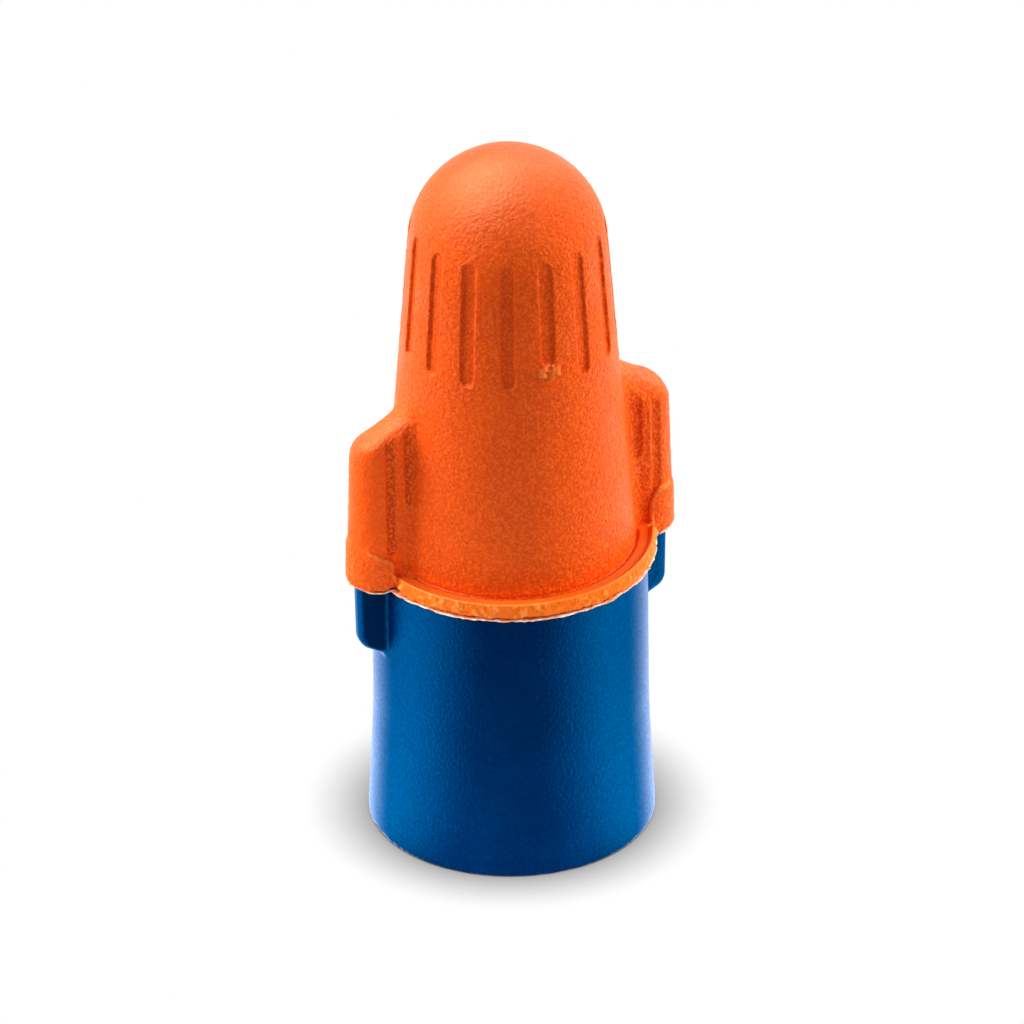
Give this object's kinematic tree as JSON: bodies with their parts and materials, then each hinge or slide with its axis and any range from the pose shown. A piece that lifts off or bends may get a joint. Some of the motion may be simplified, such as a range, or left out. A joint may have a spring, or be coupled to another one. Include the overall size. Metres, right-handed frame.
{
  "type": "twist-on wire connector",
  "caption": "Winged twist-on wire connector: soft fluted grip over a hard shell with a long skirt, and a floating square-wire spring inside.",
  "frame": {"origin": "centre of the mouth's rim, on the plane the connector stands on", "axes": "+Z along the axis from the mouth to the dome, the wings along X, the injection point facing -Y"},
  "size_m": [0.0158, 0.0132, 0.034],
  "materials": {
    "grip": "matte, fine spark-eroded grain",
    "shell": "smooth, semi-gloss polypropylene",
    "spring": "zinc plated"
  },
  "bodies": {
    "shell": {"hard_shell": "shell", "cushion_grip": "grip"},
    "spring": {"live_spring": "spring"}
  },
  "joints": [
    {"name": "spring_float", "type": "hinge", "parent": "shell", "child": "spring", "pos_m": [0, 0, 0.0139], "axis": [0, 0, 1], "range_deg": [-10, 10]}
  ]
}
